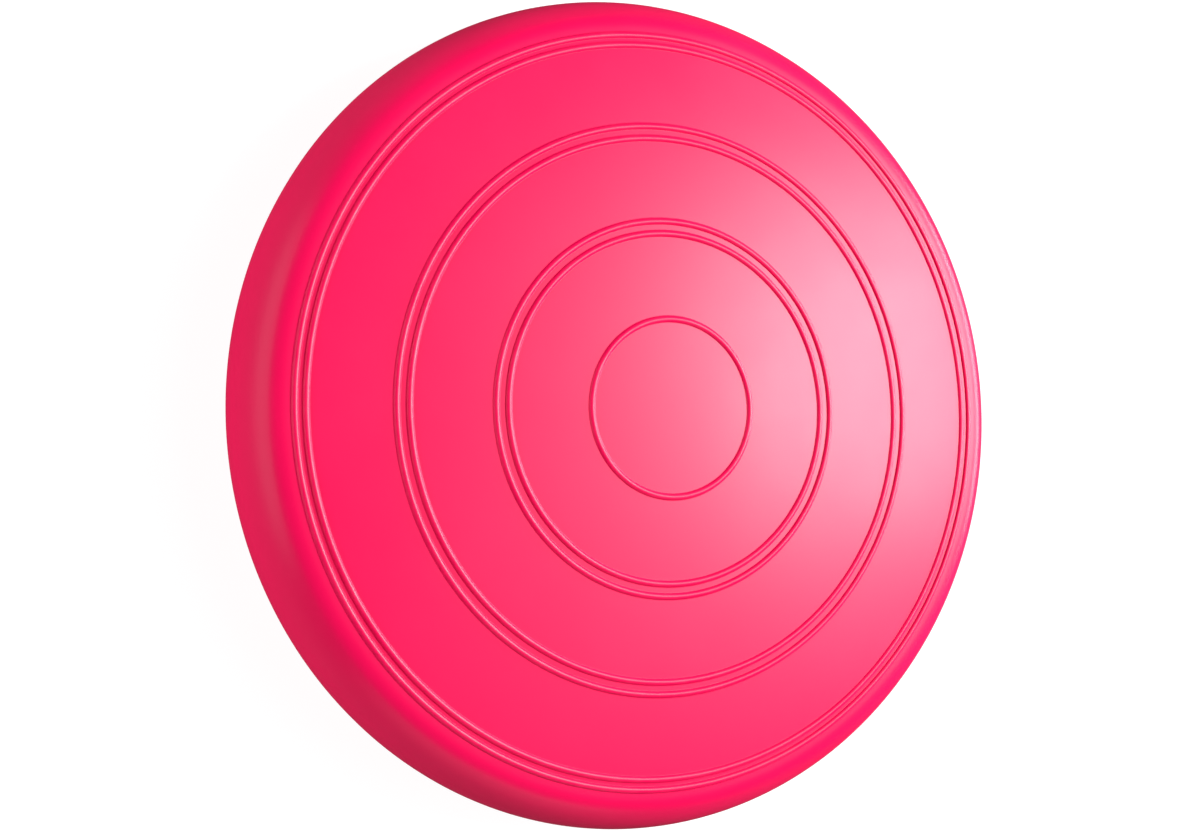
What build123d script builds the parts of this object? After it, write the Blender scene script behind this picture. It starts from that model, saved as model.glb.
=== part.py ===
from build123d import *
import math
import os

# ---------------------------------------------------------------------------
# Air-filled balance disc: a ring-faced skin and a nub-faced skin, welded round
# the lower edge, and a three-piece inflation valve set in the side wall.
# Frame: origin on the floor under the centre, +Z up through the ring face.
# The valve looks out along +X.  Millimetres.
# ---------------------------------------------------------------------------

# overall form, as a section through the axis
disc_radius = 165.0        # widest point of the side wall
side_radius = 27.4         # the side wall is an arc of this radius
equator_height = 29.5      # height of the widest point above the floor
crown_rise = 31.1          # crown of the ring face above the widest point
dome_radius = 1420.0       # the ring face is a shallow dome
crown_flat_radius = 8.0    # with a flat spot at its centre
shoulder_radius = 11.0     # round between the dome and the side wall
keel_drop = 26.9           # underside skin below the widest point
rest_radius = 58.0         # the underside settles flat on the floor inside this
keel_radius = 1630.0       # and is a shallow dome outside it
heel_radius = 9.0          # round between the underside and the side wall
skin = 3.8                 # wall thickness of both skins

# raised rings on the standing face: one single, then three pairs
ring_radii = [34.4, 67.8, 72.6, 105.4, 110.15, 142.7, 146.7]
rib_round = 1.35           # radius of each ring's rounded section
rib_height = 0.85          # how far each ring stands proud

# weld between the skins, on the under-curve of the side wall
weld_height = 13.0
weld_chamfer = 0.35
lip_height = 3.4           # locating lip of the underside skin, inside the wall
lip_thickness = 1.6
lip_clearance = 0.4

# massage nubs on the underside
nub_height = 2.6
nub_base_radius = 2.6
nub_tip_radius = 1.15
nub_pitch = 13.0           # between circles of nubs, and about that along them
nub_circles = 11
seam_turn = 26.25          # degrees, a direction in which no nub of the outer circles lies

# valve, on a horizontal axis at the widest point
valve_boss_radius = 12.5
valve_boss_inner = 148.6   # where the thickened boss ends inside
pocket_radius = 10.4
pocket_floor = 160.9
housing_barrel_radius = 6.6
housing_flange_radius = 10.0
housing_face = 163.1
housing_inner = 147.0
head_seat_radius = 6.2
head_seat_floor = 161.7
plug_bore_radius = 4.0
plug_bore_floor = 154.6
core_radius = 5.0
core_inner = 148.4
core_lip_radius = 3.4
needle_funnel_radius = 1.9
needle_hole_radius = 1.0
needle_hole_floor = 150.2
plug_clearance = 0.08
plug_tip = 155.2
plug_face = 163.5

os.makedirs("parts", exist_ok=True)

# centres of the section's arcs, as (radius, height)
side_centre = (disc_radius - side_radius, equator_height)
dome_centre = (0.0, equator_height + crown_rise - dome_radius)
under_floor = equator_height - keel_drop
keel_centre = (0.0, under_floor + math.sqrt(keel_radius**2 - rest_radius**2))


def meeting_point(centre_a, radius_a, centre_b, radius_b, outward):
    """Where two circles meet, on the side that lies further out."""
    dr, dz = centre_b[0] - centre_a[0], centre_b[1] - centre_a[1]
    apart = math.hypot(dr, dz)
    along = (apart**2 + radius_a**2 - radius_b**2) / (2 * apart)
    across = math.sqrt(radius_a**2 - along**2)
    mid = (centre_a[0] + dr * along / apart, centre_a[1] + dz * along / apart)
    both = [
        (mid[0] + s * across * dz / apart, mid[1] - s * across * dr / apart)
        for s in (1, -1)
    ]
    return max(both, key=outward)


def top_height(r, inset=0.0):
    """Height of the ring face at radius r, moved inwards by inset."""
    return dome_centre[1] + math.sqrt((dome_radius - inset) ** 2 - r**2)


def under_height(r, inset=0.0):
    """Height of the underside at radius r, between the nubs."""
    domed = keel_centre[1] - math.sqrt((keel_radius - inset) ** 2 - r**2)
    return max(domed, under_floor + inset)


def filled_section(inset):
    """Section of the closed form from rim to rim, moved inwards by inset."""
    side = side_radius - inset
    shoulder = meeting_point(
        dome_centre, dome_radius - inset, side_centre, side, lambda p: p[0]
    )
    heel = meeting_point(keel_centre, keel_radius - inset, side_centre, side, lambda p: p[0])
    crown = (crown_flat_radius, top_height(crown_flat_radius, inset))
    dome_middle = (80.0, top_height(80.0, inset))
    keel_middle = (110.0, under_height(110.0, inset))
    inner_keel = keel_radius - inset
    rest_drop = keel_centre[1] - under_floor - inset
    rest = (math.sqrt(inner_keel**2 - rest_drop**2), under_floor + inset)
    rim = (disc_radius - inset, equator_height)
    with BuildSketch() as section:
        with BuildLine() as right_half:
            Line((0, crown[1]), crown)
            ThreePointArc(crown, dome_middle, shoulder)
            ThreePointArc(shoulder, rim, heel)
            ThreePointArc(heel, keel_middle, rest)
            Line(rest, (0, rest[1]))
            mirror(about=Plane.YZ)
        make_face()
        for level, round_radius in ((shoulder[1], shoulder_radius), (heel[1], heel_radius)):
            corners = section.vertices().filter_by(
                lambda v: abs(v.X) > keel_middle[0] and abs(v.Y - level) < 0.01
            )
            fillet(corners, round_radius - inset)
    return section.sketch


with BuildSketch() as skin_section:
    add(filled_section(0))
    add(filled_section(skin), mode=Mode.SUBTRACT)

# The skins are turned from the section's +X half.

# ------------------------------------------------------------- ring face skin
# Domed standing face and the whole side wall down to the weld, with the seven
# raised rings and the thickened boss round the valve moulded in one with it.
with BuildPart() as ring_face_skin:
    with BuildSketch(Plane.XZ) as wall_section:
        add(skin_section.sketch)
        with Locations((0, weld_height)):
            Rectangle(disc_radius + 5, 60, align=(Align.MIN, Align.MIN), mode=Mode.INTERSECT)
        for rib_at in ring_radii:
            with Locations((rib_at, top_height(rib_at) + rib_height - rib_round)):
                Circle(rib_round)
    revolve(axis=Axis.Z)
    # softened outer edge at the weld
    weld_edge = (
        ring_face_skin.edges()
        .filter_by(GeomType.CIRCLE)
        .group_by(Axis.Z)[0]
        .sort_by(SortBy.RADIUS)[-1]
    )
    chamfer(weld_edge, weld_chamfer)
    # boss inside the wall, and the pocket and bore for the valve housing
    with BuildSketch(Plane.YZ.offset(valve_boss_inner)):
        with Locations((0, equator_height)):
            Circle(valve_boss_radius)
    extrude(amount=disc_radius - skin + 0.6 - valve_boss_inner)
    with BuildSketch(Plane.YZ.offset(pocket_floor)):
        with Locations((0, equator_height)):
            Circle(pocket_radius)
    extrude(amount=disc_radius + 5 - pocket_floor, mode=Mode.SUBTRACT)
    with BuildSketch(Plane.YZ.offset(valve_boss_inner - 5)):
        with Locations((0, equator_height)):
            Circle(housing_barrel_radius)
    extrude(amount=disc_radius + 5 - valve_boss_inner, mode=Mode.SUBTRACT)
ring_face_skin.part.label = "ring_face_skin"
export_step(ring_face_skin.part, "parts/ring_face_skin.step")

# ------------------------------------------------------------- nub face skin
# Underside panel up to the weld, with its locating lip and the massage nubs.
weld_inner_radius = side_centre[0] + math.sqrt(
    (side_radius - skin) ** 2 - (equator_height - weld_height) ** 2
)

seam_angle = math.radians(seam_turn)
seam_plane = Plane(
    origin=(0, 0, 0),
    x_dir=(math.cos(seam_angle), math.sin(seam_angle), 0),
    z_dir=(math.sin(seam_angle), -math.cos(seam_angle), 0),
)

with BuildPart() as nub_face_skin:
    # turned from a half-plane that passes between the nubs
    with BuildSketch(seam_plane) as panel_section:
        add(skin_section.sketch)
        with Locations((0, weld_height)):
            Rectangle(disc_radius + 5, 60, align=(Align.MIN, Align.MAX), mode=Mode.INTERSECT)
        # lip, rooted in the wall just under the weld
        with Locations((weld_inner_radius - lip_clearance, weld_height - 2.5)):
            Rectangle(lip_thickness, lip_height + 2.5, align=(Align.MAX, Align.MIN))
    revolve(axis=Axis.Z)
    weld_edge = (
        nub_face_skin.edges()
        .filter_by(GeomType.CIRCLE)
        .filter_by(lambda e: abs(e.center().Z - weld_height) < 0.01)
        .sort_by(SortBy.RADIUS)[-1]
    )
    chamfer(weld_edge, weld_chamfer)

# one nub, standing on its tip; its root is sunk into the skin
nub_root_depth = 1.2
with BuildPart() as nub:
    with BuildSketch(Plane.XZ):
        with BuildLine():
            Polyline(
                (0, 0),
                (nub_tip_radius, 0),
                (nub_tip_radius + 0.45, 0.35),
                (nub_base_radius, nub_height),
                (nub_base_radius, nub_height + nub_root_depth),
                (0, nub_height + nub_root_depth),
                close=True,
            )
        make_face()
    revolve(axis=Axis.Z)

# concentric circles of nubs, each circle turned half a step from the last
nub_places = [(0.0, 0.0, 0.0)]
for circle in range(1, nub_circles + 1):
    radius = circle * nub_pitch
    count = 6 * circle
    for i in range(count):
        angle = 2 * math.pi * (i + 0.5 * (circle % 2)) / count
        nub_places.append(
            (radius * math.cos(angle), radius * math.sin(angle), under_height(radius) - nub_height)
        )

with nub_face_skin:
    with Locations(*nub_places):
        add(nub.part)
nub_face_skin.part.label = "nub_face_skin"
export_step(nub_face_skin.part, "parts/nub_face_skin.step")

# ------------------------------------------------------------- valve
# Turned about the valve's axis.  In these sections the first number is the
# radius from that axis and the second is the distance out along +X.
valve_axis = Axis((0, 0, equator_height), (1, 0, 0))
valve_plane = Plane(origin=(0, 0, equator_height), x_dir=(0, 0, 1), z_dir=(0, 1, 0))

with BuildPart() as valve_housing:
    with BuildSketch(valve_plane):
        with BuildLine():
            Polyline(
                (core_lip_radius, housing_inner),
                (housing_barrel_radius, housing_inner),
                (housing_barrel_radius, pocket_floor),
                (housing_flange_radius, pocket_floor),
                (housing_flange_radius, housing_face - 0.4),
                (housing_flange_radius - 0.4, housing_face),
                (head_seat_radius, housing_face),
                (head_seat_radius, head_seat_floor),
                (plug_bore_radius, head_seat_floor),
                (plug_bore_radius, plug_bore_floor),
                (core_radius, plug_bore_floor),
                (core_radius, core_inner),
                (core_lip_radius, core_inner),
                close=True,
            )
        make_face()
    revolve(axis=valve_axis)
valve_housing.part.label = "valve_housing"
export_step(valve_housing.part, "parts/valve_housing.step")

# self-sealing rubber bung; the pump needle is guided in by its funnel
with BuildPart() as valve_core:
    with BuildSketch(valve_plane):
        with BuildLine():
            Polyline(
                (0, core_inner),
                (core_radius, core_inner),
                (core_radius, plug_bore_floor),
                (needle_funnel_radius, plug_bore_floor),
                (needle_hole_radius, plug_bore_floor - 1.6),
                (needle_hole_radius, needle_hole_floor),
                (0, needle_hole_floor - 0.5),
                close=True,
            )
        make_face()
    revolve(axis=valve_axis)
valve_core.part.label = "valve_core"
export_step(valve_core.part, "parts/valve_core.step")

# push-in stopper: a shank with two sealing beads, and a head with a dished
# face and a notch for a fingernail
shank = plug_bore_radius - plug_clearance
head_radius = head_seat_radius - 0.35
with BuildPart() as valve_plug:
    with BuildSketch(valve_plane):
        with BuildLine():
            Polyline(
                (0, plug_tip),
                (shank - 0.9, plug_tip),
                (shank - 0.3, plug_tip + 0.8),
                (shank - 0.3, plug_tip + 1.4),
                (shank, plug_tip + 1.8),
                (shank, plug_tip + 2.4),
                (shank - 0.3, plug_tip + 2.8),
                (shank - 0.3, plug_tip + 3.9),
                (shank, plug_tip + 4.3),
                (shank, plug_tip + 4.9),
                (shank - 0.3, plug_tip + 5.3),
                (shank - 0.3, head_seat_floor + 0.05),
                (head_radius, head_seat_floor + 0.05),
                (head_radius, plug_face - 0.45),
                (head_radius - 0.45, plug_face),
                (2.7, plug_face),
                (2.2, plug_face - 0.7),
                (0, plug_face - 0.7),
                close=True,
            )
        make_face()
    revolve(axis=valve_axis)
    # fingernail notch at the lower edge of the head
    with BuildSketch(Plane.YZ.offset(plug_face - 1.2)):
        with Locations((0, equator_height - head_radius)):
            Circle(1.5)
    extrude(amount=2, mode=Mode.SUBTRACT)
valve_plug.part.label = "valve_plug"
export_step(valve_plug.part, "parts/valve_plug.step")
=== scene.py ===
import math

import bmesh
import bpy
import numpy as np
from mathutils import Matrix, Vector
from mathutils.geometry import delaunay_2d_cdt


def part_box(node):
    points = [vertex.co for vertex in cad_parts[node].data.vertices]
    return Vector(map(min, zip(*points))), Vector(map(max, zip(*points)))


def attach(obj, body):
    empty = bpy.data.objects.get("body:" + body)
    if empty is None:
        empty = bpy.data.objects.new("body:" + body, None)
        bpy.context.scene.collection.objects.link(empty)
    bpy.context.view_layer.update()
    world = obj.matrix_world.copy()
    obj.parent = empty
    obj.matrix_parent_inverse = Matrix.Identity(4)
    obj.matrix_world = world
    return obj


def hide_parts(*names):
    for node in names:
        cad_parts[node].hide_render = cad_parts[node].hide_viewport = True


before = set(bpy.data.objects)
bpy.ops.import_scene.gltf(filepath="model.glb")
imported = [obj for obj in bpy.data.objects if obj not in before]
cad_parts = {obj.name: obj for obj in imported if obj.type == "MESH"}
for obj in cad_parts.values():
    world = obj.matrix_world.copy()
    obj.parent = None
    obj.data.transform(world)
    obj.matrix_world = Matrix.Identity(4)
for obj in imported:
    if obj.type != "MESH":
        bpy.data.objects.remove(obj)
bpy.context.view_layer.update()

MM = 0.001

# --------------------------------------------------------------------------
# The disc's section, millimetres, as the CAD parts have it
# --------------------------------------------------------------------------
low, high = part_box("ring_face_skin")
DISC_R = 165.0
SIDE_R = 27.4
EQ_Z = 29.5
DOME_R = 1420.0
SHOULDER_R = 11.0
KEEL_R = 1630.0
HEEL_R = 9.0
REST_R = 58.0
FLOOR_Z = 2.6              # underside skin between the nubs, where it rests
SKIN = 3.8
WELD_Z = 13.0
RINGS = (34.4, 67.8, 72.6, 105.4, 110.15, 142.7, 146.7)
RIB_ROUND, RIB_HEIGHT, RIB_FOOT = 1.42, 0.92, 0.12
CROWN_Z = EQ_Z + 31.1
assert abs(-low[0] / MM - DISC_R) < 0.2

SIDE_C = (DISC_R - SIDE_R, EQ_Z)
DOME_C = (0.0, CROWN_Z - DOME_R)
KEEL_C = (0.0, FLOOR_Z + math.sqrt(KEEL_R**2 - REST_R**2))

COLUMNS = 480              # round the disc
PATCH_COLUMNS = 7          # either side of the valve


def fillet_centre(big_c, big_r, round_r):
    """Centre of a round inside both the big arc and the side arc, on the rim's side."""
    ra, rb = big_r - round_r, SIDE_R - round_r
    dx, dz = SIDE_C[0] - big_c[0], SIDE_C[1] - big_c[1]
    d = math.hypot(dx, dz)
    a = (d * d + ra * ra - rb * rb) / (2 * d)
    h = math.sqrt(max(ra * ra - a * a, 0.0))
    m = (big_c[0] + dx * a / d, big_c[1] + dz * a / d)
    both = [(m[0] + s * h * dz / d, m[1] - s * h * dx / d) for s in (1, -1)]
    return max(both, key=lambda p: p[0])


SHOULDER_C = fillet_centre(DOME_C, DOME_R, SHOULDER_R)
HEEL_C = fillet_centre(KEEL_C, KEEL_R, HEEL_R)


def direction(a, b):
    d = math.hypot(b[0] - a[0], b[1] - a[1])
    return ((b[0] - a[0]) / d, (b[1] - a[1]) / d)


def angle_of(v):
    return math.atan2(v[1], v[0])


SHOULDER_TOP = angle_of(direction(DOME_C, SHOULDER_C))
SHOULDER_LOW = angle_of(direction(SIDE_C, SHOULDER_C))
HEEL_TOP = angle_of(direction(SIDE_C, HEEL_C))
HEEL_LOW = angle_of(direction(KEEL_C, HEEL_C))


def dome_z(r, inset=0.0):
    return DOME_C[1] + math.sqrt((DOME_R - inset) ** 2 - r * r)


def keel_z(r, inset=0.0):
    return max(KEEL_C[1] - math.sqrt((KEEL_R - inset) ** 2 - r * r), FLOOR_Z + inset)


def arc(centre, radius, a0, a1, n):
    return [
        (centre[0] + radius * math.cos(a0 + (a1 - a0) * i / n), centre[1] + radius * math.sin(a0 + (a1 - a0) * i / n))
        for i in range(n + 1)
    ]


def rib_section():
    """One raised ring's section: distance from its middle, height above the face."""
    sunk = RIB_ROUND - RIB_HEIGHT
    top = math.acos((sunk + 0.09) / RIB_ROUND)
    half = [(RIB_ROUND * math.sin(top * i / 9), RIB_ROUND * math.cos(top * i / 9) - sunk) for i in range(10)]
    # a tight round where it meets the face
    foot = half[-1][0]
    half += [(foot + 0.03, 0.04), (foot + 0.07, 0.012), (foot + RIB_FOOT, 0.0)]
    return [(-x, h) for x, h in reversed(half[1:])] + half


# --------------------------------------------------------------------------
# Mesh building
# --------------------------------------------------------------------------
class Build:
    """Vertices in millimetres and faces, gathered before they become a mesh."""

    def __init__(self):
        self.v, self.f = [], []

    def point(self, x, y, z):
        self.v.append((x, y, z))
        return len(self.v) - 1

    def ring(self, r, z, n=COLUMNS):
        if r < 1e-6:
            return [self.point(0.0, 0.0, z)]
        return [
            self.point(r * math.cos(2 * math.pi * j / n), r * math.sin(2 * math.pi * j / n), z) for j in range(n)
        ]

    def join(self, a, b, skip=()):
        """Faces between two loops; a loop of one point is a pole."""
        n = max(len(a), len(b))
        for j in range(n):
            if j in skip:
                continue
            k = (j + 1) % n
            if len(a) == 1:
                self.f.append((a[0], b[j], b[k]))
            elif len(b) == 1:
                self.f.append((a[j], a[k], b[0]))
            else:
                self.f.append((a[j], a[k], b[k], b[j]))

    def mesh(self, name, sharp=40.0):
        me = bpy.data.meshes.new(name)
        me.from_pydata([(x * MM, y * MM, z * MM) for x, y, z in self.v], [], self.f)
        bm = bmesh.new()
        bm.from_mesh(me)
        bmesh.ops.recalc_face_normals(bm, faces=bm.faces)
        open_edges = sum(1 for e in bm.edges if not e.is_manifold)
        bm.to_mesh(me)
        bm.free()
        if open_edges:
            raise RuntimeError(f"{name}: {open_edges} open edges")
        me.shade_smooth()
        me.set_sharp_from_angle(angle=math.radians(sharp))
        obj = bpy.data.objects.new(name, me)
        bpy.context.scene.collection.objects.link(obj)
        return obj


# --------------------------------------------------------------------------
# Ring face skin
# --------------------------------------------------------------------------
def ring_face_outline():
    """Outer profile from the crown to the weld; also the rows of the valve's window."""
    pts = [(0.0, dome_z(0.0))]
    section = rib_section()
    half = section[-1][0]
    at = 0.0
    beside = half + 0.16           # a row close to each foot keeps the face's shading flat
    edges = [(ring - beside, ring + beside) for ring in RINGS]
    top_end = DOME_C[0] + DOME_R * math.cos(SHOULDER_TOP)
    for ring, (a, b) in list(zip(RINGS, edges)) + [(None, (top_end, None))]:
        steps = max(1, round((a - at) / 4.5))
        for i in range(1, steps if ring is None else steps + 1):
            r = at + (a - at) * i / steps
            pts.append((r, dome_z(r)))
        if ring is None:
            break
        tilt = math.asin(ring / DOME_R)
        for x, h in section:
            # stand the section on the dome's own slope
            base_r, base_z = ring + x, dome_z(ring + x)
            pts.append((base_r + h * math.sin(tilt), base_z + h * math.cos(tilt)))
        pts.append((b, dome_z(b)))
        at = b
    pts += arc(SHOULDER_C, SHOULDER_R, SHOULDER_TOP, SHOULDER_LOW, 8)
    window_top, window_low = math.radians(38), math.radians(-33)
    pts += arc(SIDE_C, SIDE_R, SHOULDER_LOW, window_top, 5)[1:]
    first = len(pts) - 1
    pts += arc(SIDE_C, SIDE_R, window_top, window_low, 18)[1:]
    last = len(pts) - 1
    # down to the weld, whose outer edge is rounded
    weld = math.asin((WELD_Z - EQ_Z) / SIDE_R)
    edge = math.radians(0.75)
    pts += arc(SIDE_C, SIDE_R, window_low, weld + edge, 3)[1:]
    r, z = SIDE_C[0] + SIDE_R * math.cos(weld), WELD_Z
    pts += [(r - 0.02, z + 0.20), (r - 0.14, z + 0.08), (r - 0.32, z + 0.02), (r - 0.55, z)]
    return pts, first, last


def build_ring_face_skin():
    b = Build()
    outer, first, last = ring_face_outline()
    inner_r = SIDE_R - SKIN
    # inner profile, from the weld back up to the crown
    inner = [(154.05, WELD_Z), (154.32, WELD_Z + 0.9)]
    lo, hi = math.radians(-33), math.radians(38)
    inner += arc(SIDE_C, inner_r, math.radians(-38.5), lo, 2)
    window_first = len(inner) - 1
    inner += arc(SIDE_C, inner_r, lo, hi, 18)[1:]
    window_last = len(inner) - 1
    inner += arc(SIDE_C, inner_r, hi, SHOULDER_LOW, 3)[1:]
    inner += arc(SHOULDER_C, SHOULDER_R - SKIN, SHOULDER_LOW, SHOULDER_TOP, 4)[1:]
    for r in (136, 120, 100, 80, 60, 40, 20, 0):
        inner.append((float(r), dome_z(r, SKIN)))

    window = set(range(PATCH_COLUMNS)) | set(range(COLUMNS - PATCH_COLUMNS, COLUMNS))
    out_rows = [b.ring(r, z) for r, z in outer]
    in_rows = [b.ring(r, z) for r, z in inner]
    for i in range(len(outer) - 1):
        b.join(out_rows[i], out_rows[i + 1], window if first <= i < last else ())
    b.join(out_rows[-1], in_rows[0])
    for i in range(len(inner) - 1):
        b.join(in_rows[i], in_rows[i + 1], window if window_first <= i < window_last else ())

    def window_loop(rows, top, bottom):
        """The window's edge, anticlockwise seen from outside, from its lower -Y corner."""
        cols = list(range(-PATCH_COLUMNS, PATCH_COLUMNS + 1))
        step = 1 if bottom > top else -1
        loop = [rows[bottom][c] for c in cols]
        loop += [rows[i][PATCH_COLUMNS] for i in range(bottom - step, top, -step)]
        loop += [rows[top][c] for c in reversed(cols)]
        loop += [rows[i][-PATCH_COLUMNS] for i in range(top + step, bottom, step)]
        return loop

    loop_out = window_loop(out_rows, first, last)
    loop_in = window_loop(in_rows, window_last, window_first)

    def surface_x(y, z, side):
        reach = SIDE_C[0] + math.sqrt(side * side - (z - EQ_Z) ** 2)
        return math.sqrt(reach * reach - y * y)

    spokes = []
    for i in loop_out:
        x, y, z = b.v[i]
        spokes.append(math.atan2(z - EQ_Z, y))

    def circle(radius, x_of):
        return [
            b.point(x_of(radius * math.cos(a), EQ_Z + radius * math.sin(a)), radius * math.cos(a), EQ_Z + radius * math.sin(a))
            for a in spokes
        ]

    def spread(loop, radius, side, steps):
        """Rings of points on the wall, from the window's edge in to a circle."""
        rings = [loop]
        for s in range(1, steps + 1):
            t = s / steps
            new = []
            for i, a in zip(loop, spokes):
                _, y0, z0 = b.v[i]
                y = y0 + (radius * math.cos(a) - y0) * t
                z = z0 + (EQ_Z + radius * math.sin(a) - z0) * t
                new.append(b.point(surface_x(y, z, side), y, z))
            rings.append(new)
        return rings

    # pocket: a rounded mouth, a straight wall, a flat floor and the bore
    rings = spread(loop_out, 11.3, SIDE_R, 5)
    mouth = 0.9
    for k in range(1, 6):
        t = math.radians(18 * k)
        radius = 11.3 - mouth * math.sin(t)
        drop = mouth * (1 - math.cos(t))
        rings.append(circle(radius, lambda y, z, d=drop: surface_x(y, z, SIDE_R) - d))
    rings.append(circle(10.4, lambda y, z: 161.25))
    rings.append(circle(10.3, lambda y, z: 161.0))
    rings.append(circle(10.05, lambda y, z: 160.9))
    rings.append(circle(6.75, lambda y, z: 160.9))
    rings.append(circle(6.6, lambda y, z: 160.7))
    rings.append(circle(6.6, lambda y, z: 155.0))
    rings.append(circle(6.6, lambda y, z: 148.6))
    rings.append(circle(9.5, lambda y, z: 148.6))
    rings.append(circle(12.0, lambda y, z: 148.6))
    rings.append(circle(12.4, lambda y, z: 148.75))
    rings.append(circle(12.5, lambda y, z: 149.2))
    rings += list(reversed(spread(loop_in, 12.5, inner_r, 2)))
    for a, c in zip(rings, rings[1:]):
        b.join(a, c)
    obj = b.mesh("ring_face_skin_moulded")

    # how near each point is to a ring's crest, for its faint polish
    me = obj.data
    co = np.empty(len(me.vertices) * 3)
    me.vertices.foreach_get("co", co)
    co = co.reshape(-1, 3) / MM
    r = np.hypot(co[:, 0], co[:, 1])
    up = np.sqrt(np.maximum(DOME_R**2 - r * r, 0)) + DOME_C[1]
    crest = np.clip((co[:, 2] - up) / RIB_HEIGHT, 0, 1)
    me.attributes.new("crest", "FLOAT", "POINT").data.foreach_set("value", crest.astype(np.float32))
    return obj


# --------------------------------------------------------------------------
# Nub face skin
# --------------------------------------------------------------------------
NUB_PITCH, NUB_CIRCLES, NUB_HEIGHT, NUB_SIDES = 13.0, 11, 2.6, 16


def nub_places():
    yield 0.0, 0.0
    for c in range(1, NUB_CIRCLES + 1):
        for i in range(6 * c):
            a = 2 * math.pi * (i + 0.5 * (c % 2)) / (6 * c)
            yield c * NUB_PITCH * math.cos(a), c * NUB_PITCH * math.sin(a)


def build_nub_face_skin():
    b = Build()
    weld = math.asin((WELD_Z - EQ_Z) / SIDE_R)
    edge = math.radians(0.75)
    r, z = SIDE_C[0] + SIDE_R * math.cos(weld), WELD_Z
    outer = [(r - 1.25, z), (r - 1.0, z - 0.02), (r - 0.84, z - 0.08), (r - 0.66, z - 0.22)]
    outer += arc(SIDE_C, SIDE_R, weld - math.radians(1.6), HEEL_TOP, 6)
    outer += arc(HEEL_C, HEEL_R, HEEL_TOP, HEEL_LOW, 8)[1:]
    field_r = 149.5
    outer.append((field_r, keel_z(field_r)))
    rows = [b.ring(r, z) for r, z in outer]
    for a, c in zip(rows, rows[1:]):
        b.join(a, c)

    # the field of nubs: each one's loops from its foot to its tip
    foot_r = 3.4
    shape = ((3.15, 0.015), (2.86, 0.10), (2.62, 0.42), (2.40, 0.92), (2.08, 1.62), (1.70, 2.26), (1.48, 2.46), (1.18, 2.58), (0.62, 2.60))
    field_points, field_index, field_edges = [], [], []
    rim = rows[-1]
    for j, i in enumerate(rim):
        field_points.append((b.v[i][0], b.v[i][1]))
        field_index.append(i)
        field_edges.append((j, (j + 1) % len(rim)))
    for cx, cy in nub_places():
        centre_z = keel_z(math.hypot(cx, cy))
        turn = math.atan2(cy, cx)
        foot = []
        for k in range(NUB_SIDES):
            a = turn + 2 * math.pi * k / NUB_SIDES
            x, y = cx + foot_r * math.cos(a), cy + foot_r * math.sin(a)
            foot.append(b.point(x, y, keel_z(math.hypot(x, y))))
        start = len(field_points)
        for k, i in enumerate(foot):
            field_points.append((b.v[i][0], b.v[i][1]))
            field_index.append(i)
            field_edges.append((start + k, start + (k + 1) % NUB_SIDES))
        last = foot
        for radius, drop in shape:
            follow = max(0.0, 1.0 - drop / 0.9)   # the foot follows the skin's slope
            loop = []
            for k in range(NUB_SIDES):
                a = turn + 2 * math.pi * k / NUB_SIDES
                x, y = cx + radius * math.cos(a), cy + radius * math.sin(a)
                base = keel_z(math.hypot(x, y)) * follow + centre_z * (1 - follow)
                loop.append(b.point(x, y, base - drop))
            b.join(last, loop)
            last = loop
        b.join(last, [b.point(cx, cy, centre_z - NUB_HEIGHT)])

    out_v, _, out_f, orig_v, _, _ = delaunay_2d_cdt(
        [Vector(p) for p in field_points], field_edges, [], 0, 1e-5
    )
    index = []
    for k, v in enumerate(out_v):
        if len(orig_v[k]) != 1:
            raise RuntimeError("the field of nubs did not triangulate cleanly")
        index.append(field_index[orig_v[k][0]])
    centres = np.array(list(nub_places()))
    tris = [t for t in out_f]
    mid = np.array([[sum(out_v[i][0] for i in t) / 3, sum(out_v[i][1] for i in t) / 3] for t in tris])
    for t, m in zip(tris, mid):
        if np.min(np.hypot(centres[:, 0] - m[0], centres[:, 1] - m[1])) < foot_r * 0.97:
            continue
        b.f.append(tuple(index[i] for i in t))

    # inside, with the weld's locating lip
    lip_out = 154.07
    inner = [
        (lip_out, WELD_Z),
        (lip_out - 0.02, WELD_Z + 2.9),
        (lip_out - 0.3, WELD_Z + 3.35),
        (lip_out - 1.3, WELD_Z + 3.35),
        (lip_out - 1.6, WELD_Z + 2.9),
        (lip_out - 1.6, WELD_Z - 1.6),
        (lip_out - 2.6, WELD_Z - 2.3),
    ]
    for rr in (148.0, 140.0, 120.0, 100.0, 80.0, 60.0, 40.0, 20.0, 0.0):
        inner.append((rr, keel_z(rr, SKIN)))
    in_rows = [b.ring(r, z) for r, z in inner]
    b.join(rows[0], in_rows[0])
    for a, c in zip(in_rows, in_rows[1:]):
        b.join(a, c)
    obj = b.mesh("nub_face_skin_moulded")

    me = obj.data
    co = np.empty(len(me.vertices) * 3)
    me.vertices.foreach_get("co", co)
    co = co.reshape(-1, 3) / MM
    r = np.hypot(co[:, 0], co[:, 1])
    drop = np.array([keel_z(q) for q in np.minimum(r, 155.0)]) - co[:, 2]
    crest = np.where(r < 149, np.clip((drop - 1.4) / 1.1, 0, 1), 0)
    me.attributes.new("crest", "FLOAT", "POINT").data.foreach_set("value", crest.astype(np.float32))
    return obj


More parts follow.
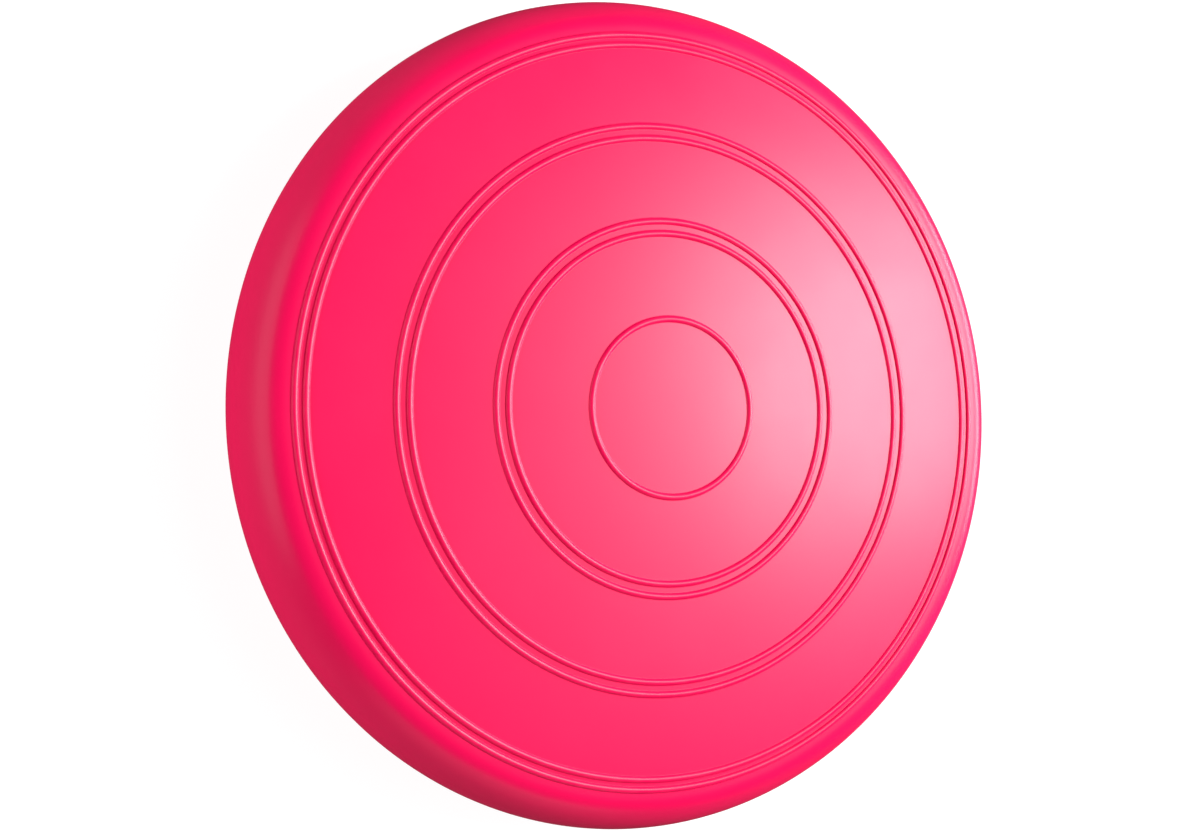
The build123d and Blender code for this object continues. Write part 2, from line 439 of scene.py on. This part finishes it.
# --------------------------------------------------------------------------
# Valve pieces, turned about the valve's own axis
# --------------------------------------------------------------------------
def rounded(points, radius, steps=4):
    """A closed or open outline with its corners rounded; points may carry their own radius."""
    out = []
    n = len(points)
    for i, p in enumerate(points):
        r = p[2] if len(p) > 2 else radius
        if i in (0, n - 1) or r <= 0:
            out.append((p[0], p[1]))
            continue
        a, c = points[i - 1], points[i + 1]
        u, w = direction(p, a), direction(p, c)
        half = math.acos(max(-1, min(1, u[0] * w[0] + u[1] * w[1]))) / 2
        if half > math.radians(88):
            out.append((p[0], p[1]))
            continue
        reach = min(
            r / math.tan(half),
            0.45 * math.hypot(a[0] - p[0], a[1] - p[1]),
            0.45 * math.hypot(c[0] - p[0], c[1] - p[1]),
        )
        s, e = (p[0] + u[0] * reach, p[1] + u[1] * reach), (p[0] + w[0] * reach, p[1] + w[1] * reach)
        for k in range(steps + 1):
            t = k / steps
            out.append(
                (
                    (1 - t) ** 2 * s[0] + 2 * t * (1 - t) * p[0] + t * t * e[0],
                    (1 - t) ** 2 * s[1] + 2 * t * (1 - t) * p[1] + t * t * e[1],
                )
            )
    return out


def lathe(name, outline, closed, segments=96, reshape=None):
    """Turn (radius, x) points about the valve's axis."""
    b = Build()
    loops = []
    for radius, x in outline:
        if radius < 1e-6:
            loops.append([b.point(x, 0.0, EQ_Z)])
        else:
            loop = []
            for k in range(segments):
                a = 2 * math.pi * k / segments
                p = (x, radius * math.cos(a), radius * math.sin(a))
                if reshape:
                    p = reshape(*p)
                loop.append(b.point(p[0], p[1], EQ_Z + p[2]))
            loops.append(loop)
    for a, c in zip(loops, loops[1:]):
        b.join(a, c)
    if closed:
        b.join(loops[-1], loops[0])
    return b.mesh(name, sharp=35)


def build_valve():
    start = [(3.9, 147.0)]
    housing = rounded(
        [
            (4.6, 147.0, 0),
            (6.6, 147.0, 0.35),
            (6.6, 160.86, 0.1),
            (10.0, 160.9, 0.15),
            (10.0, 163.1, 0.45),
            (9.05, 163.1, 0.12),
            (8.85, 162.95, 0.12),
            (8.35, 162.95, 0.12),
            (8.15, 163.1, 0.12),
            (6.2, 163.1, 0.35),
            (6.2, 161.7, 0.15),
            (4.0, 161.7, 0.3),
            (4.0, 154.6, 0.12),
            (5.0, 154.6, 0.1),
            (5.0, 148.4, 0.1),
            (3.4, 148.4, 0.1),
            (3.4, 147.0, 0.25),
            (4.6, 147.0, 0),
        ],
        0.2,
    )[:-1]
    housing = lathe("valve_housing_turned", housing, closed=True)

    core = rounded(
        [
            (0.0, 148.45, 0),
            (4.95, 148.45, 0.25),
            (4.95, 154.55, 0.3),
            (1.9, 154.55, 0.3),
            (1.0, 153.0, 0.4),
            (1.0, 150.2, 0.2),
            (0.0, 149.7, 0),
        ],
        0.2,
    )
    core = lathe("valve_core_turned", core, closed=False)

    shank, head, tip, face, seat = 3.92, 5.85, 155.2, 163.5, 161.75
    plug = rounded(
        [
            (0.0, tip, 0),
            (shank - 0.9, tip, 0.3),
            (shank - 0.3, tip + 0.8, 0.3),
            (shank - 0.3, tip + 1.4, 0.25),
            (shank, tip + 1.8, 0.25),
            (shank, tip + 2.4, 0.25),
            (shank - 0.3, tip + 2.8, 0.25),
            (shank - 0.3, tip + 3.9, 0.25),
            (shank, tip + 4.3, 0.25),
            (shank, tip + 4.9, 0.25),
            (shank - 0.3, tip + 5.3, 0.25),
            (shank - 0.3, seat, 0.1),
            (head, seat, 0.15),
            (head, face, 0.45),
            (3.0, face, 0.3),
            (2.5, face - 0.62, 0.3),
            (0.0, face - 0.7, 0),
        ],
        0.2,
        steps=5,
    )

    def notch(x, y, z):
        """Fingernail notch at the lower edge of the head."""
        low_x = face - 1.3
        if x > low_x:
            d = math.hypot(y, z + head + 0.25)
            deep = max(0.0, min(1.0, (2.15 - d) / 0.8))
            deep = deep * deep * (3 - 2 * deep)
            x = low_x + (x - low_x) * (1 - 0.8 * deep)
        return x, y, z

    # more rows across the head's face, so that the notch has a clean edge
    dense = []
    for p, q in zip(plug, plug[1:]):
        dense.append(p)
        steps = 1
        if p[1] > face - 1.3 and q[1] > face - 1.3 and min(p[0], q[0]) > 2.5:
            steps = max(1, int(math.hypot(q[0] - p[0], q[1] - p[1]) / 0.16))
        for k in range(1, steps):
            dense.append((p[0] + (q[0] - p[0]) * k / steps, p[1] + (q[1] - p[1]) * k / steps))
    dense.append(plug[-1])
    plug = lathe("valve_plug_turned", dense, closed=False, segments=160, reshape=notch)
    return housing, core, plug


# --------------------------------------------------------------------------
# Materials
# --------------------------------------------------------------------------
def material(name, settings):
    mat = bpy.data.materials.new(name)
    mat.use_nodes = True
    nt = mat.node_tree
    shader = nt.nodes["Principled BSDF"]
    for key, value in settings.items():
        shader.inputs[key].default_value = value
    return mat, nt, shader


def ramp(nt, fac, stops):
    node = nt.nodes.new("ShaderNodeValToRGB")
    while len(node.color_ramp.elements) < len(stops):
        node.color_ramp.elements.new(0.5)
    for e, (pos, col) in zip(node.color_ramp.elements, stops):
        e.position = pos
        e.color = (*col, 1) if len(col) == 3 else col
    nt.links.new(fac, node.inputs["Fac"])
    return node.outputs["Color"]


def noise(nt, coords, scale, detail=3.0, rough=0.5, seed=0.0):
    node = nt.nodes.new("ShaderNodeTexNoise")
    node.noise_dimensions = "4D"
    node.inputs["W"].default_value = seed
    node.inputs["Scale"].default_value = scale
    node.inputs["Detail"].default_value = detail
    node.inputs["Roughness"].default_value = rough
    nt.links.new(coords, node.inputs["Vector"])
    return node.outputs["Fac"]


def maths(nt, op, a, b=None, clamp=False):
    node = nt.nodes.new("ShaderNodeMath")
    node.operation = op
    node.use_clamp = clamp
    for k, x in enumerate((a, b)):
        if x is None:
            continue
        if isinstance(x, (int, float)):
            node.inputs[k].default_value = x
        else:
            nt.links.new(x, node.inputs[k])
    return node.outputs[0]


def map_range(nt, x, a, b, c, d):
    node = nt.nodes.new("ShaderNodeMapRange")
    for key, val in (("From Min", a), ("From Max", b), ("To Min", c), ("To Max", d)):
        node.inputs[key].default_value = val
    nt.links.new(x, node.inputs["Value"])
    return node.outputs["Result"]


def bump(nt, height, strength, distance, after=None):
    node = nt.nodes.new("ShaderNodeBump")
    node.inputs["Strength"].default_value = strength
    node.inputs["Distance"].default_value = distance
    nt.links.new(height, node.inputs["Height"])
    if after is not None:
        nt.links.new(after, node.inputs["Normal"])
    return node.outputs["Normal"]


PINK = (0.5, 0.0015, 0.0495)


def tint(c, k, lift=0.0):
    return tuple(min(1.0, x * k + lift) for x in c)


def pvc_material(name, colour, roughness, grain=1.0, crest=True):
    """Satin soft PVC: a fine grain, faint clouding and flow marks, polished crests."""
    mat, nt, shader = material(name, {"IOR": 1.53, "Specular IOR Level": 0.14})
    coords = nt.nodes.new("ShaderNodeTexCoord").outputs["Object"]
    cloud = noise(nt, coords, 14.0, 4.0, 0.55, 1.7)
    fine = noise(nt, coords, 620.0, 2.0, 0.6, 4.1)
    colour_out = ramp(nt, cloud, [(0.30, tint(colour, 0.965)), (0.52, colour), (0.74, tint(colour, 1.03, 0.0012))])
    rough = map_range(nt, cloud, 0.3, 0.75, roughness - 0.03, roughness + 0.035)
    if crest:
        worn = nt.nodes.new("ShaderNodeAttribute")
        worn.attribute_name = "crest"
        scuff = noise(nt, coords, 95.0, 5.0, 0.65, 7.3)
        mask = maths(nt, "MULTIPLY", worn.outputs["Fac"], map_range(nt, scuff, 0.42, 0.68, 0.0, 1.0), clamp=True)
        mix = nt.nodes.new("ShaderNodeMix")
        mix.data_type = "RGBA"
        nt.links.new(maths(nt, "MULTIPLY", mask, 0.55), mix.inputs["Factor"])
        nt.links.new(colour_out, mix.inputs["A"])
        mix.inputs["B"].default_value = (*tint(colour, 1.0, 0.012), 1)
        colour_out = mix.outputs["Result"]
        rough = maths(nt, "SUBTRACT", rough, maths(nt, "MULTIPLY", mask, 0.05))
    nt.links.new(colour_out, shader.inputs["Base Color"])
    nt.links.new(rough, shader.inputs["Roughness"])
    micro = noise(nt, coords, 2600.0, 2.0, 0.5, 9.2)
    normal = bump(nt, fine, 0.10 * grain, 0.00012)
    normal = bump(nt, micro, 0.12 * grain, 0.00004, normal)
    nt.links.new(normal, shader.inputs["Normal"])
    return mat


def rubber_material(name):
    mat, nt, shader = material(name, {"IOR": 1.5, "Specular IOR Level": 0.4})
    coords = nt.nodes.new("ShaderNodeTexCoord").outputs["Object"]
    cloud = noise(nt, coords, 300.0, 4.0, 0.6, 2.2)
    nt.links.new(
        ramp(nt, cloud, [(0.3, (0.018, 0.018, 0.019)), (0.7, (0.034, 0.033, 0.034))]), shader.inputs["Base Color"]
    )
    nt.links.new(map_range(nt, cloud, 0.3, 0.7, 0.55, 0.75), shader.inputs["Roughness"])
    nt.links.new(bump(nt, noise(nt, coords, 2400.0, 3.0, 0.6, 5.0), 0.35, 0.00005), shader.inputs["Normal"])
    return mat


def floor_material():
    mat, nt, shader = material(
        "floor_lit_white",
        {"Roughness": 0.9, "Specular IOR Level": 0.1, "Emission Color": (1, 1, 1, 1), "Emission Strength": 0.93},
    )
    coords = nt.nodes.new("ShaderNodeTexCoord").outputs["Object"]
    cloud = noise(nt, coords, 2.0, 3.0, 0.5, 3.3)
    nt.links.new(
        ramp(nt, cloud, [(0.3, (0.118, 0.118, 0.118)), (0.7, (0.122, 0.122, 0.122))]), shader.inputs["Base Color"]
    )
    return mat


# --------------------------------------------------------------------------
# The object
# --------------------------------------------------------------------------
skin_mat = pvc_material("skin_pvc_satin", PINK, 0.36)
valve_mat = pvc_material("valve_pvc_satin", tint(PINK, 0.86), 0.36, grain=0.6, crest=False)
plug_mat = pvc_material("plug_plastic_moulded", tint(PINK, 0.9), 0.28, grain=0.4, crest=False)
core_mat = rubber_material("valve_rubber_black")

ring_face = build_ring_face_skin()
nub_face = build_nub_face_skin()
housing, core, plug = build_valve()

for obj, node, body, slot, mat in (
    (ring_face, "ring_face_skin", "disc", "skin_pvc", skin_mat),
    (nub_face, "nub_face_skin", "disc", "skin_pvc", skin_mat),
    (housing, "valve_housing", "disc", "valve_pvc", valve_mat),
    (core, "valve_core", "disc", "valve_rubber", core_mat),
    (plug, "valve_plug", "plug", "plug_plastic", plug_mat),
):
    obj.data.materials.append(mat)
    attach(obj, body)
    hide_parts(node)

# --------------------------------------------------------------------------
# Floor, lights, camera
# --------------------------------------------------------------------------
bpy.ops.mesh.primitive_plane_add(size=6.0, location=(0, 0, 0))
floor = bpy.context.object
floor.name = "floor"
floor.data.materials.append(floor_material())
floor.visible_glossy = False       # the lit floor is kept out of the disc's gloss
far_mat = floor_material()
far_mat.cycles.emission_sampling = "NONE"
bpy.ops.mesh.primitive_plane_add(size=80.0, location=(0, 0, -0.003))
far_floor = bpy.context.object
far_floor.name = "floor_far"
far_floor.data.materials.append(far_mat)
far_floor.visible_glossy = False


def softbox(name, position, target, width, height, power, colour=(1, 1, 1)):
    data = bpy.data.lights.new(name, "AREA")
    data.shape = "RECTANGLE"
    data.size, data.size_y = width, height
    data.energy = power
    data.color = colour
    obj = bpy.data.objects.new(name, data)
    bpy.context.scene.collection.objects.link(obj)
    obj.location = position
    obj.rotation_mode = "QUATERNION"
    obj.rotation_quaternion = (Vector(target) - Vector(position)).to_track_quat("-Z", "Y")
    return obj


def around(azimuth, elevation, distance):
    """A place round the disc, azimuth from +X towards +Y."""
    a, e = math.radians(azimuth), math.radians(elevation)
    return (
        distance * math.cos(a) * math.cos(e),
        distance * math.sin(a) * math.cos(e),
        0.03 + distance * math.sin(e),
    )


softbox("key_right", around(9, 47.0, 1.7), (0, 0, 0.03), 0.62, 0.6, 70)
softbox("fill_right", around(0, 60, 1.7), (0, 0, 0.03), 1.3, 1.2, 15)
softbox("fill_left", around(172, 13, 2.0), (0, 0, 0.03), 2.4, 0.9, 16)
wash = softbox("wash_left", around(172, 13, 2.05), (0, 0, 0.03), 2.4, 0.9, 38)
wash.visible_glossy = False        # lights the skin without a reflection of its own
softbox("fill_front", around(-100, 12, 1.7), (0, 0, 0.03), 1.6, 0.6, 5)
softbox("edge_right", around(8, 12, 1.7), (0, 0, 0.03), 1.0, 0.5, 32)

world = bpy.data.worlds.new("studio")
bpy.context.scene.world = world
world.use_nodes = True
world.node_tree.nodes["Background"].inputs["Color"].default_value = (1, 1, 1, 1)
world.node_tree.nodes["Background"].inputs["Strength"].default_value = 0.06

equator = Vector((0, 0, EQ_Z * MM))
camera_data = bpy.data.cameras.new("photo_view")
camera_data.lens = 50.0
camera_data.sensor_width = 36.0
camera_data.clip_start, camera_data.clip_end = 0.01, 80.0
camera = bpy.data.objects.new("photo_view", camera_data)
bpy.context.scene.collection.objects.link(camera)
back = Vector((-0.4316, -0.0440, 0.9010)).normalized()
up = Vector((0.0, 0.99877, 0.0489))
right = up.cross(back).normalized()
up = back.cross(right).normalized()
camera.location = equator + Vector((-0.3028, -0.0324, 0.5976))
camera.rotation_mode = "QUATERNION"
camera.rotation_quaternion = Matrix((right, up, back)).transposed().to_quaternion()
bpy.context.scene.camera = camera

scene = bpy.context.scene
scene.view_settings.view_transform = "Standard"
scene.view_settings.look = "None"
